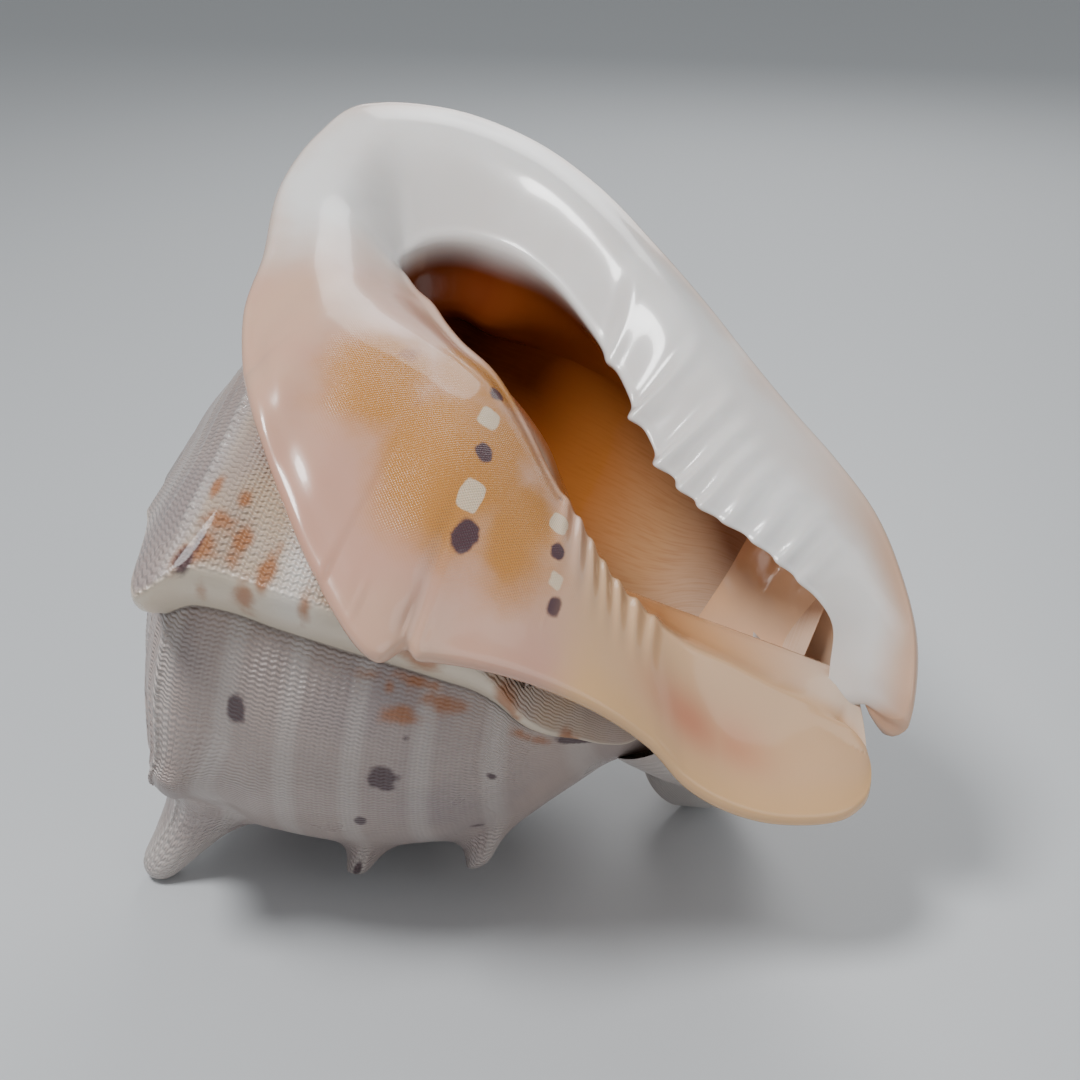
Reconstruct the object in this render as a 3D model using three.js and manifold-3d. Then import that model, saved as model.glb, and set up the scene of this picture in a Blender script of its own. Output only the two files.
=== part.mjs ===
// A horned helmet shell resting on its back, in millimetres, +Z up.
// It is one solid: the body whorl and spire, which grow on one logarithmic spiral, with their horns,
// and the thick callus round the opening, which makes the toothed outer lip, the shield and the canal.
// The shell's own axes are x towards the outer lip, y towards the spire and z out of the opening,
// with the tip of the spire at their origin. A "drop" is a distance below that tip, along the axis.
// A "turn" is an angle round the axis, in degrees, which grows as the shell grows.
import * as THREE from "three";
import { mergeVertices } from "three/addons/utils/BufferGeometryUtils.js";
import Module from "manifold-3d";

const wasm = await Module();
wasm.setup();
const { Manifold, Mesh } = wasm;

// How the shell lies on the table.
const pose = { x: 24.8, y: 9.8, z: 72 };
const wornDepth = 1.2;

// Growth: each full turn makes the whorl this many times larger.
const gainPerTurn = 1.6;
const profileTurn = 130;
const lipTurn = 290;
const wallThickness = 7;
const cavityStart = 140;
const tipBead = { radius: 4.2, drop: 4.6 };

// Half section of the whorl at profileTurn, from the seam under the spire to the canal: [drop, radius].
const profile = [
  [15, 41],
  [21, 53.5],
  [25, 61.5],
  [29, 69.5],
  [36, 78],
  [44, 81.5],
  [54, 80],
  [66, 80],
  [85, 76.5],
  [102, 70.5],
  [116, 62.5],
  [126, 54],
  [134, 43],
  [141, 33],
  [148, 27],
  [153, 23],
  [157, 17],
];
// Growth lines lag behind towards the canal: [unit drop, degrees].
const growthLine = [
  [40, 0],
  [80, 0],
  [108, 2],
  [122, 7],
  [133, 22],
  [148, 46],
  [157, 52],
];

// Rows of horns and knobs. Drops are those at profileTurn, and there is one length for each horn in a row.
const hornRows = [
  { drop: 42, firstTurn: 102, step: 36, lengths: [5, 30.6, 22.1, 25, 19], spread: 22, lean: 20 },
  { drop: 88, firstTurn: 136, step: 36, lengths: [11, 7, 8], spread: 13, lean: 4 },
  { drop: 118, firstTurn: 134, step: 36, lengths: [11, 8], spread: 12, lean: -6 },
];
// One horn from its tip outwards: [share of its spread, share of its length].
const hornOutline = [
  [0, 1],
  [0.11, 0.98],
  [0.2, 0.88],
  [0.27, 0.62],
  [0.37, 0.34],
  [0.6, 0.1],
  [1, -0.02],
];
const hornSides = 9;

// The ridge that the previous outer lip left on the whorl, with its spout at the shoulder.
const varix = { rise: 18, crest: 48, foot: 57, height: 12, spout: 0.9, spoutDrop: 31, spoutLag: 7 };

// The canal bends back over the shell's base, and is open along the outside of its bend.
// Each ring has its centre, the way its open side faces, its radius and half the width of its slit.
const canalRings = [
  { centre: [4, 128, 0], open: [0, 0.3, 1], radius: 26, slit: 5 },
  { centre: [3, 152, -8], open: [0, 0.55, 0.85], radius: 28, slit: 4 },
  { centre: [4, 167, -22], open: [0, 0.8, 0.6], radius: 24, slit: 3.5 },
  { centre: [8, 173, -38], open: [0, 1, 0.2], radius: 19, slit: 4 },
  { centre: [12, 171, -55], open: [0, 0.95, -0.3], radius: 15.5, slit: 4.5 },
  { centre: [15, 164, -67.4], open: [0, 0.85, -0.5], radius: 13, slit: 5 },
];
// Across the slit, from its floor to past the open side: [share of its half width, distance out].
const slitOutline = [
  [-0.7, -3],
  [0.7, -3],
  [1.1, 0],
  [1, 8],
  [1, 26],
  [-1, 26],
  [-1, 8],
  [-1.1, 0],
];

// The strip round the opening, from the end of the outer lip, over the spire end, to the canal.
// Each station has its inner edge, its highest line and its outer rim as [x, drop, z].
const lipStations = [
  [[-3, 193, 8], [-4, 203, 16], [-8, 212, 17]],
  [[4, 190, 18], [2, 200, 24], [-2, 211, 25]],
  [[10, 186, 28], [13, 197, 32], [14, 207, 31]],
  [[14, 174, 35], [24, 186, 39], [30, 198, 36]],
  [[17, 160, 40], [30, 172, 45], [42, 188, 40]],
  [[21, 143, 43], [36, 156, 49], [53, 174, 43]],
  [[30, 129, 44], [46, 144, 52], [63, 158, 46]],
  [[43, 118, 45], [58, 131, 54], [74, 142, 49]],
  [[54, 110, 45], [72, 118, 57], [87, 126, 51]],
  [[67, 98, 45], [86, 101, 58], [101, 107, 53]],
  [[81, 82, 45], [101, 81, 59], [118, 83, 54]],
  [[89, 66, 44], [110, 62, 59], [129, 58, 54]],
  [[89, 50, 42], [112, 39, 59], [130, 31, 54]],
  [[84, 41, 40], [104, 22, 57], [118, 7, 54]],
  [[78, 38, 38], [88, 18, 57], [98, 2, 55]],
];
const shieldStations = [
  [[71, 39, 40], [72, 19, 57], [71, 3, 57]],
  [[66, 43, 42], [54, 25, 60], [38, 12, 61]],
  [[61, 48, 43], [30, 33, 66], [8, 19, 66]],
  [[56, 54, 45], [14, 44, 68], [-20, 33, 66]],
  [[48, 61, 47], [4, 54, 68], [-38, 48, 62]],
  [[41, 68, 49], [-6, 68, 66], [-56, 66, 60]],
  [[34, 79, 50], [-12, 82, 66], [-68, 85, 56]],
  [[21, 92, 50], [-18, 94, 62], [-60, 97, 52]],
  [[7, 104, 49], [-20, 106, 56], [-55, 110, 49]],
  [[-2, 116, 44], [-22, 120, 48], [-50, 124, 43]],
  [[-9, 128, 37], [-25, 132, 40], [-47, 137, 37]],
  [[-12, 141, 31], [-26, 143, 33], [-45, 151, 28]],
  [[-13, 152, 27], [-27, 155, 24], [-46, 163, 19]],
  [[-12, 164, 24], [-27, 168, 17], [-45, 175, 14]],
  [[-11, 178, 20], [-25, 182, 14], [-42, 188, 12]],
  [[-9, 192, 16], [-19, 197, 14], [-33, 204, 11]],
  [[-8, 200, 11], [-13, 206, 12], [-20, 211, 10]],
];
const rimThickness = { lip: 9, shield: 4.5 };
const callus = 2;

// Teeth of the outer lip and folds of the columella, by their places along the strip and their sizes.
const teeth = {
  places: [8.35, 6.85, 5.85, 5.3, 4.85, 4.45, 3.95, 3.4, 2.9],
  sizes: [0.5, 1.1, 1.2, 1, 1, 0.8, 0.6, 0.6, 0.4],
  width: 0.18,
  height: 2.4,
  length: 3.4,
};
const folds = {
  places: [23.6, 24, 24.4, 24.8, 25.2, 25.65, 26.1],
  sizes: [0.7, 1, 1, 1, 1, 1, 0.7],
  width: 0.15,
  height: 1.5,
  length: 1.5,
};

const radians = THREE.MathUtils.degToRad;
const clamp01 = (x) => THREE.MathUtils.clamp(x, 0, 1);
const smooth = (x) => THREE.MathUtils.smoothstep(x, 0, 1);

// A smooth curve through [x, y] knots, read at x.
function curveAt(knots, x) {
  const last = knots.length - 1;
  const found = knots.findIndex((p) => p[0] > x) - 1;
  const here = x >= knots[last][0] ? last - 1 : Math.max(found, 0);
  const slope = (i) => {
    const a = knots[Math.max(i - 1, 0)];
    const b = knots[Math.min(i + 1, last)];
    return (b[1] - a[1]) / (b[0] - a[0]);
  };
  const [x0, y0] = knots[here];
  const [x1, y1] = knots[here + 1];
  const w = x1 - x0;
  const t = clamp01((x - x0) / w);
  const ends = y0 * (1 - t) ** 2 * (1 + 2 * t) + y1 * t ** 2 * (3 - 2 * t);
  return ends + w * t * (1 - t) * (slope(here) * (1 - t) - slope(here + 1) * t);
}

const scaleAt = (turn) => gainPerTurn ** ((turn - profileTurn) / 360);
const lagAt = (unitDrop) => curveAt(growthLine, unitDrop);
const place = ([x, drop, z]) => new THREE.Vector3(x, -drop, z);

// A point of the shell by its turn, its distance from the axis and its drop.
function polar(turn, radius, drop) {
  const a = radians(turn);
  return new THREE.Vector3(-Math.sin(a) * radius, -drop, Math.cos(a) * radius);
}

// How far the old lip stands out of the whorl, by the age of the growth line.
function varixHeight(age, unitDrop) {
  const nearSpout = Math.exp(-(((unitDrop - varix.spoutDrop) / 8) ** 2));
  const at = age - varix.spoutLag * nearSpout;
  const rise = clamp01((at - varix.rise) / (varix.crest - varix.rise)) ** 2;
  const fall = 1 - smooth((at - varix.crest) / (varix.foot - varix.crest));
  const fade = 1 - 0.6 * smooth((unitDrop - 100) / 50) + varix.spout * nearSpout;
  return varix.height * (at < varix.crest ? rise : fall) * fade;
}

function whorlRadius(turn, drop, plain = false) {
  const scale = scaleAt(turn);
  const unitDrop = drop / scale;
  const age = turn - lagAt(unitDrop);
  return scale * curveAt(profile, unitDrop) + (plain ? 0 : varixHeight(age, unitDrop));
}

// A point on a growth line of the whorl, or so far outside it.
function whorlPoint(age, unitDrop, out = 0, plain = false) {
  const turn = age + lagAt(unitDrop);
  const drop = unitDrop * scaleAt(turn);
  return polar(turn, whorlRadius(turn, drop, plain) + out, drop);
}

// A closed geometry as a solid that can be joined and cut.
function solidFrom(geometry) {
  geometry.deleteAttribute("normal");
  geometry.deleteAttribute("uv");
  const closed = mergeVertices(geometry);
  const vertProperties = closed.attributes.position.array;
  const triVerts = new Uint32Array(closed.index.array);
  return new Manifold(new Mesh({ numProp: 3, vertProperties, triVerts }));
}

// Points and triangles as a solid, with its faces turned outwards.
function solidOf(positions, triangles) {
  const vertProperties = new Float32Array(positions.flatMap((p) => [p.x, p.y, p.z]));
  const triVerts = new Uint32Array(triangles);
  const solid = new Manifold(new Mesh({ numProp: 3, vertProperties, triVerts }));
  if (solid.volume() > 0) return solid;
  return solidOf(positions, triangles.toReversed());
}

// A solid whose skin is a grid of points. Columns close on themselves, and the ends of the rows
// close on one point at each end.
function solidBetweenPoles(rows, firstPole, lastPole) {
  const width = rows[0].length;
  const positions = [...rows.flat(), firstPole, lastPole];
  const first = positions.length - 2;
  const last = positions.length - 1;
  const triangles = [];
  rows.forEach((row, i) => {
    const next = (i + 1) % rows.length;
    const at = (k, j) => k * width + j;
    triangles.push(first, at(next, 0), at(i, 0));
    triangles.push(last, at(i, width - 1), at(next, width - 1));
    for (let j = 0; j < width - 1; j++) {
      triangles.push(at(i, j), at(next, j), at(next, j + 1));
      triangles.push(at(i, j), at(next, j + 1), at(i, j + 1));
    }
  });
  return solidOf(positions, triangles);
}

// A solid whose skin is a row of closed loops, capped at both ends.
function solidThroughLoops(loops) {
  const columns = loops[0].map((_, j) => loops.map((loop) => loop[j]));
  const middle = (loop) =>
    loop.reduce((sum, p) => sum.add(p), new THREE.Vector3()).divideScalar(loop.length);
  return solidBetweenPoles(columns, middle(loops[0]), middle(loops[loops.length - 1]));
}

const range = (from, to, steps) =>
  Array.from({ length: steps + 1 }, (_, i) => from + ((to - from) * i) / steps);

// The body whorl, solid from the axis outwards.
const bodyAges = [...range(lipTurn - 360, 32, 11), ...range(37, 61, 7), ...range(68, lipTurn, 26)];
const bodyDrops = [
  15, 20, 23, 25.5, 28, 31, 35, 40, 45, 53, 62, 72, 82, 91, 99, 107, 114, 120, 126, 131, 136, 141, 147,
  152, 157,
];
const body = solidBetweenPoles(
  bodyAges.map((age) => bodyDrops.map((drop) => whorlPoint(age, drop))),
  place([0, 30, 0]),
  place([0, 170, 0]),
);

// Each older turn of the spire is the whorl again, smaller by the growth of one turn.
const spireDrops = [15, 20, 24, 28, 33, 38, 43, 52];
const spireKnobs = { drop: 38, count: 9, height: 3.2 };
// The last stretch of an older turn dips under the start of the next one.
const dipAt = (age, end) => -0.3 - 1.4 * smooth((age - end + 32) / 14);
const spireTurn = (ages, end) => solidBetweenPoles(
  ages.map((age) =>
    spireDrops.map((drop) => {
      const knob = Math.max(0, Math.cos(radians(age * spireKnobs.count))) ** 2;
      const near = Math.exp(-(((drop - spireKnobs.drop) / 7) ** 2));
      return whorlPoint(age, drop, dipAt(age, end) + spireKnobs.height * knob * near, true);
    }),
  ),
  place([0, 30, 0]),
  place([0, 75, 0]),
);
const olderTurns = [1, 2, 3, 4].map((k) => {
  const s = gainPerTurn ** -k;
  const start = lipTurn - 360 + 20 * k;
  const ages = range(start, start + 366, k === 1 ? 36 : 18);
  return spireTurn(ages, start + 366).scale([s, s, s]);
});
const bead = new THREE.SphereGeometry(tipBead.radius, 12, 8).translate(0, -tipBead.drop, 0);
const tip = solidFrom(bead);

// A horn: rings drawn on the whorl around its centre, lifted towards its tip.
function hornSolid({ drop, turn, length, spread, lean }) {
  const centreDrop = drop * scaleAt(turn);
  const radius = whorlRadius(turn, centreDrop);
  const reach = spread + 0.15 * length;
  const leanAngle = radians(lean);
  const upward = polar(turn, Math.cos(leanAngle), -Math.sin(leanAngle));
  const rings = hornOutline.slice(1).map(([share, height]) =>
    range(0, 360, hornSides).slice(0, -1).map((angle) => {
      const a = radians(angle);
      const stretch = 1 + 0.25 * smooth(share * 1.6);
      const footTurn = turn + (Math.cos(a) * reach * share * stretch * 180) / (Math.PI * radius);
      const footDrop = centreDrop + Math.sin(a) * reach * share;
      const sink = share === 1 ? -2.5 : 0;
      const foot = polar(footTurn, whorlRadius(footTurn, footDrop) + sink, footDrop);
      return foot.addScaledVector(upward, height * length);
    }),
  );
  const top = polar(turn, radius, centreDrop).addScaledVector(upward, length);
  const below = polar(turn, radius - 14, centreDrop);
  const columns = rings[0].map((_, j) => rings.map((ring) => ring[j]));
  return solidBetweenPoles(columns, top, below);
}
const horns = hornRows.flatMap((row) =>
  row.lengths.map((length, i) => hornSolid({ ...row, turn: row.firstTurn + row.step * i, length })),
);

// The hollow of the last half turn, up to the opening.
function hollowLoop(age) {
  const close = smooth((age - cavityStart) / 45);
  const outer = [];
  const inner = [];
  for (const unit of [30, 33, 38, 48, 64, 82, 98, 112, 123, 133, 141]) {
    const inset = unit === 30 ? 5 : 0;
    const turn = age + lagAt(unit);
    const drop = unit * scaleAt(turn);
    const far = whorlRadius(turn, drop, true) - wallThickness - inset;
    const olderDrop = Math.min(drop, 157 * scaleAt(turn - 360));
    const near = Math.max(whorlRadius(turn - 360, olderDrop, true) + 1.5 + inset, 12);
    const middle = (far + near) / 2;
    const outerRadius = THREE.MathUtils.lerp(middle + 0.4, far, close);
    const innerRadius = THREE.MathUtils.lerp(middle - 0.4, Math.min(near, far - 1), close);
    outer.push(polar(turn, outerRadius, drop));
    inner.unshift(polar(turn, innerRadius, drop));
  }
  return [...outer, ...inner];
}
const hollow = solidThroughLoops(range(cavityStart, lipTurn + 22, 16).map(hollowLoop));

function canalFrame({ centre, open }) {
  const out = place(open).normalize();
  const side = new THREE.Vector3(1, 0, 0).addScaledVector(out, -out.x).normalize();
  return { middle: place(centre), out, side };
}
const canalWall = solidThroughLoops(
  canalRings.map((ring) => {
    const { middle, out, side } = canalFrame(ring);
    return range(0, 360, 12).slice(0, -1).map((angle) => {
      const a = radians(angle);
      const p = middle.clone().addScaledVector(side, Math.cos(a) * ring.radius);
      return p.addScaledVector(out, Math.sin(a) * ring.radius);
    });
  }),
);
const canalSlit = solidThroughLoops(
  canalRings.map((ring, i) => {
    const { middle, out, side } = canalFrame(ring);
    const past = i === canalRings.length - 1 ? place([0.5, -3, -6]) : new THREE.Vector3();
    return slitOutline.map(([x, y]) =>
      middle.clone().addScaledVector(side, x * ring.slit).addScaledVector(out, y).add(past),
    );
  }),
);

// The strip: every station is a closed loop over its face, round its rim and back inside the shell.
const stations = [...lipStations, ...shieldStations];
const firstShield = lipStations.length;
const track = (k) => new THREE.CatmullRomCurve3(stations.map((s) => place(s[k])), false, "centripetal");
const edgeTrack = track(0);
const crestTrack = track(1);
const rimTrack = track(2);
const onTrack = (curve, u) => curve.getPoint(u / (stations.length - 1));

// Height of the older whorl under a point, or -Infinity beside it.
function whorlHeight(x, drop) {
  let z = 40;
  for (let i = 0; i < 6; i++) {
    const turn = THREE.MathUtils.radToDeg(Math.atan2(-x, z));
    const r = whorlRadius(turn, drop);
    if (r <= Math.abs(x)) return -Infinity;
    z = Math.sqrt(r * r - x * x);
  }
  return z;
}
// The larger of two heights, with the corner between them rounded.
const softMax = (a, b, blend) => {
  const gap = Math.max(blend - Math.abs(a - b), 0) / blend;
  return Math.max(a, b) + (gap * gap * blend) / 4;
};

// Turn on the whorl of a growth line that passes a point.
function nearWhorl(point, out, age) {
  const drop = -point.y;
  let turn = age;
  for (let i = 0; i < 8; i++) turn = age + lagAt(drop / scaleAt(turn));
  return polar(turn, Math.max(whorlRadius(turn, drop, true) + out, 4), drop);
}

function toothLift(u, set) {
  return set.places.reduce((sum, p, i) => sum + set.sizes[i] * Math.exp(-(((u - p) / set.width) ** 2)), 0);
}

function stripLoop(u) {
  const edge = onTrack(edgeTrack, u);
  const crest = onTrack(crestTrack, u);
  const rim = onTrack(rimTrack, u);
  const ground = whorlHeight(rim.x, -rim.y);
  if (u > firstShield) rim.z = Math.max(rim.z, ground + 3.5);
  const shield = smooth((u - firstShield) / 2.5);
  const outward = rim.clone().sub(edge).normalize();
  const bite = toothLift(u, teeth);
  const fold = toothLift(u, folds);
  edge.addScaledVector(outward, -teeth.length * bite - folds.length * fold);

  // The face, from the inner edge over the crest to the rim.
  const face = new THREE.CatmullRomCurve3([edge, crest, rim], false, "centripetal").getPoints(7);
  face.forEach((p, i) => {
    const t = i / 7;
    const under = whorlHeight(p.x, -p.y);
    if (shield > 0 && under > -Infinity) {
      const draped = softMax(p.z, under + callus, 8);
      const keep = smooth(t / 0.15) * smooth((1 - t) / 0.1);
      p.z = THREE.MathUtils.lerp(p.z, draped, shield * keep);
    }
    p.z += (teeth.height * bite + folds.height * fold) * (1 - smooth(t / 0.55)) * smooth((t + 0.1) / 0.2);
  });

  const thick = THREE.MathUtils.lerp(rimThickness.lip, rimThickness.shield, shield);
  const down = new THREE.Vector3(0, 0, -1);
  const rimSide = rim.clone().addScaledVector(outward, thick * 0.25).addScaledVector(down, thick * 0.45);
  const rimUnder = rim.clone().addScaledVector(outward, -thick * 0.1).addScaledVector(down, thick);

  // Under the lip the loop goes back to the outside of the whorl.
  // Under the shield it goes into the older whorl.
  const lipBack = nearWhorl(edge, -1.5, lipTurn - 20);
  const lipRoot = nearWhorl(edge, -5, lipTurn - 16);
  const lipDeep = nearWhorl(edge, -wallThickness - 0.5, lipTurn - 8);
  const lipHollow = rimUnder.clone().lerp(lipBack, 0.5).addScaledVector(outward, -3);
  const inset = (t, depth) => {
    const p = rim.clone().lerp(edge, t);
    const z = whorlHeight(p.x, -p.y);
    const plate = p.z - thick;
    p.z = z > -Infinity ? Math.min(plate, z - depth) : plate - depth * 0.5;
    return p;
  };
  const shieldHollow = inset(0.2, 2);
  const shieldBack = inset(0.4, 5);
  const shieldRoot = inset(0.75, 9);
  const shieldDeep = nearWhorl(edge, 2, lipTurn - 364);
  const deep = lipDeep.lerp(shieldDeep, shield);
  const root = lipRoot.lerp(shieldRoot, shield);
  const back = lipBack.lerp(shieldBack, shield);
  const nearNotch = smooth((u - 9.5) / 2) * (1 - smooth((u - 15.5) / 1.5));
  deep.addScaledVector(outward, -1 - 6 * nearNotch);
  const dip = lipHollow.lerp(shieldHollow, shield);
  const throat = deep.clone().lerp(edge, 0.55).addScaledVector(outward, 1.5);
  return [deep, throat, ...face, rimSide, rimUnder, dip, back, root];
}

function stripPlaces() {
  const bumps = [...teeth.places, ...folds.places].sort((a, b) => a - b);
  const gap = (a, b) => (b - a < 0.9 ? [a, (a + b) / 2] : [a]);
  const close = bumps.flatMap((p, i) => gap(p, bumps[i + 1] ?? Infinity));
  const plain = range(0, stations.length - 1, 2 * (stations.length - 1));
  const clear = plain.filter((p) => close.every((q) => Math.abs(p - q) > 0.3));
  return [...close, ...clear].sort((a, b) => a - b);
}
const strip = solidThroughLoops(stripPlaces().map(stripLoop));

const whorls = Manifold.union([body, canalWall]).subtract(Manifold.union([hollow, canalSlit]));
const grown = Manifold.union([whorls, ...olderTurns, tip, ...horns, strip])
  .decompose()
  .reduce((a, b) => (b.volume() > a.volume() ? b : a));

// Lay the shell on its back, wear the lowest tips flat on the table, and centre it.
const lie = new THREE.Matrix4().makeRotationFromEuler(
  new THREE.Euler(radians(pose.x), radians(pose.y), radians(pose.z)),
);
const lying = grown.transform(lie.elements);
const low = lying.boundingBox().min[2] + wornDepth;
const worn = lying.trimByPlane([0, 0, 1], low);
const box = worn.boundingBox();
const shell = worn.translate([
  -(box.min[0] + box.max[0]) / 2,
  -(box.min[1] + box.max[1]) / 2,
  -low,
]);

// The solid as a mesh. Corners closer than the weld join, and the faces that this closes up go.
const weld = 0.02;
function geometryOf(solid) {
  const mesh = solid.getMesh();
  const geometry = new THREE.BufferGeometry();
  geometry.setAttribute("position", new THREE.BufferAttribute(Float32Array.from(mesh.vertProperties), 3));
  geometry.setIndex(new THREE.BufferAttribute(Uint32Array.from(mesh.triVerts), 1));
  const welded = mergeVertices(geometry, weld);
  const faces = new Map();
  for (let i = 0; i < welded.index.count; i += 3) {
    const corners = [0, 1, 2].map((k) => welded.index.getX(i + k));
    const key = corners.toSorted((a, b) => a - b).join();
    if (new Set(corners).size < 3) continue;
    if (!faces.delete(key)) faces.set(key, corners);
  }
  welded.setIndex([...faces.values()].flat());
  welded.computeVertexNormals();
  return welded;
}

const part = new THREE.Group();
part.name = "horned_helmet_shell";
const shellMaterial = new THREE.MeshStandardMaterial({ color: 0xe6d3c4, roughness: 0.3, metalness: 0 });
shellMaterial.name = "shell";
const shellMesh = new THREE.Mesh(geometryOf(shell), shellMaterial);
shellMesh.name = "shell";
part.add(shellMesh);
export default part;
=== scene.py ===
import math
import bpy
import numpy as np
from mathutils import Euler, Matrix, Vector


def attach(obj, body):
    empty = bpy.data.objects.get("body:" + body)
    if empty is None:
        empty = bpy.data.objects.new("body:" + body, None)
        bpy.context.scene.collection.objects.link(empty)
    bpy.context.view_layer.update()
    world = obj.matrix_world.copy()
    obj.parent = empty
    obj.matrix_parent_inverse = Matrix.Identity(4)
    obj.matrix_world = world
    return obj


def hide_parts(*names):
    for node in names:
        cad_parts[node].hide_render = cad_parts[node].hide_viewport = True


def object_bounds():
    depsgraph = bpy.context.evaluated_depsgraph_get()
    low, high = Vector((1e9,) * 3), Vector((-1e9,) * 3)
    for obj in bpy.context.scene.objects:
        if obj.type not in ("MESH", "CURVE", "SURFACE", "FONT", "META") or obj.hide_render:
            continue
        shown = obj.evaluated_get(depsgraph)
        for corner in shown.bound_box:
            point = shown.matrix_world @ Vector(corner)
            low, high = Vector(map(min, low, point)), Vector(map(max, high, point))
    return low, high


# A horned helmet shell on its back. Lengths are in millimetres in the shell's own axes until a mesh is made:
# x towards the outer lip, y towards the spire, z out of the opening, from the tip of the spire.
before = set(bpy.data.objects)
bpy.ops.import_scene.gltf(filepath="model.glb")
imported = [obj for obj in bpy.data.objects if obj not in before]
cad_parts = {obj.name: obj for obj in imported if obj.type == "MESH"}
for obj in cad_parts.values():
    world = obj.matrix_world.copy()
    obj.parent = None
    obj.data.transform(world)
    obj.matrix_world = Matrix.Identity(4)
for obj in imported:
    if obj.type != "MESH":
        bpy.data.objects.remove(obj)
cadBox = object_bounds()
print("frame loaded")

lie = {"turn": (24.8, 9.8, 72.0), "shift": (-98.286, 0.484, 109.253)}  # how the shell lies on the table
lieMatrix = np.array(Euler([math.radians(a) for a in lie["turn"]], "ZYX").to_matrix())


def curveAt(knots, x):
    xs, ys = np.array(knots, float).T
    slope = np.gradient(ys, xs)
    slope[1:-1] = (ys[2:] - ys[:-2]) / (xs[2:] - xs[:-2])
    k = np.clip(np.searchsorted(xs, x, side="right") - 1, 0, len(xs) - 2)
    w = xs[k + 1] - xs[k]
    t = np.clip((x - xs[k]) / w, 0, 1)
    ends = ys[k] * (1 - t) ** 2 * (1 + 2 * t) + ys[k + 1] * t**2 * (3 - 2 * t)
    return ends + w * t * (1 - t) * (slope[k] * (1 - t) - slope[k + 1] * t)


def smooth(x):
    x = np.clip(x, 0, 1)
    return x * x * (3 - 2 * x)


def bell(x, middle, width):
    return np.exp(-(((x - middle) / width) ** 2))


# The growth spiral
growth = {
    "gainPerTurn": 1.6,
    "profileTurn": 130,
    "wall": 7,
    "hollowStart": 140,
    "profile": [
        (15, 41), (21, 53.5), (25, 61.5), (29, 69.5), (36, 78), (44, 81.5), (54, 80), (66, 80), (85, 76.5),
        (102, 70.5), (116, 62.5), (126, 54), (134, 43), (141, 33), (148, 27), (153, 23), (157, 17),
    ],
    "line": [(40, 0), (80, 0), (108, 2), (122, 7), (133, 22), (148, 46), (157, 52)],
}

# The old lip, a ridge across the whorl with a spout at its shoulder
varix = {
    "rise": 18,
    "crest": 48,
    "foot": 57,
    "height": 12,
    "fallPower": 1.5,
    "spout": 0.9,
    "spoutDrop": 31,
    "spoutWidth": 8,
    "spoutLag": 7,
    "fadeFrom": 100,
    "fadeOver": 50,
    "fade": 0.6,
}


def scaleAt(turn):
    return growth["gainPerTurn"] ** ((turn - growth["profileTurn"]) / 360)


def lagAt(unit):
    return curveAt(growth["line"], unit)


def polar(turn, radius, drop):
    a = np.radians(turn)
    return np.stack(np.broadcast_arrays(-np.sin(a) * radius, -drop, np.cos(a) * radius), -1)


def varixHeight(age, unit):
    nearSpout = bell(unit, varix["spoutDrop"], varix["spoutWidth"])
    age = age - varix["spoutLag"] * nearSpout
    rise = np.clip((age - varix["rise"]) / (varix["crest"] - varix["rise"]), 0, 1) ** 2
    fall = 1 - np.clip((age - varix["crest"]) / (varix["foot"] - varix["crest"]), 0, 1) ** varix["fallPower"]
    fade = varix["fade"] * smooth((unit - varix["fadeFrom"]) / varix["fadeOver"])
    share = 1 - fade + varix["spout"] * nearSpout
    return varix["height"] * np.where(age < varix["crest"], rise, fall) * share


def whorlRadius(turn, drop, plain=False):
    scale = scaleAt(turn)
    unit = drop / scale
    radius = scale * curveAt(growth["profile"], unit)
    return radius if plain else radius + varixHeight(turn - lagAt(unit), unit)


# Horns, in rows along the whorl
hornRows = [
    {"drop": 42, "firstTurn": 102, "lengths": (5, 30.6, 22.1, 25, 19), "spread": 22, "lean": 20},
    {"drop": 88, "firstTurn": 136, "lengths": (11, 7, 8), "spread": 13, "lean": 4},
    {"drop": 118, "firstTurn": 134, "lengths": (11, 8), "spread": 12, "lean": -6},
]
hornShape = {
    "step": 36,
    "outline": [(0, 1), (0.11, 0.98), (0.2, 0.88), (0.27, 0.62), (0.37, 0.34), (0.6, 0.1), (1, 0)],
    "gather": [(0, 0), (0.16, 0.11), (0.3, 0.2), (0.44, 0.27), (0.58, 0.37), (0.76, 0.6), (1, 1)],
    "stretch": 1.25,
    "stretchBy": 1.6,  # how early in a horn's foot the stretch is complete
    "footPerLength": 0.15,
    "fullLength": 20,  # a horn as long as this is white to its tip
}


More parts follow.
